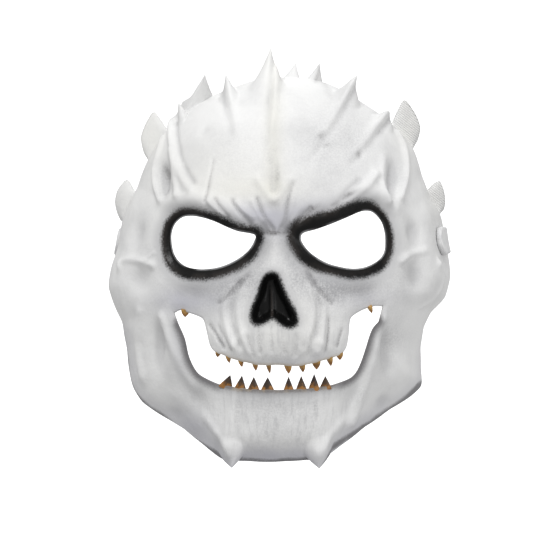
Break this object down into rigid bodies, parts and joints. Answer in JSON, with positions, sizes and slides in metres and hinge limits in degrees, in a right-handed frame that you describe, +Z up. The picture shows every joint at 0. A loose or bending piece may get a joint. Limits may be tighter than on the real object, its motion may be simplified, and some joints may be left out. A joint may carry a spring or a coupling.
{
  "type": "skull mask",
  "caption": "Moulded full-face skull costume mask with a crown of spikes, side fins, open eyes, a toothed grin and an elastic head strap.",
  "frame": {"origin": "in the hollow of the mask, level with the eyes, between the places where the strap is glued on; it is where the mask sits on a head", "axes": "+Z up, the face looks along -Y, the wearer's left is +X"},
  "size_m": [0.2196, 0.2125, 0.2656],
  "materials": {
    "painted_foam_latex": "matt off-white with airbrushed grey shading, black round the eyes and in the nose hollow, brown teeth",
    "white_elastic": "flat woven elastic",
    "glued_patch": "matt"
  },
  "bodies": {
    "root": {"mask_shell": "painted_foam_latex", "strap_band": "white_elastic", "strap_tab_right": "glued_patch", "strap_tab_left": "glued_patch"}
  },
  "joints": []
}
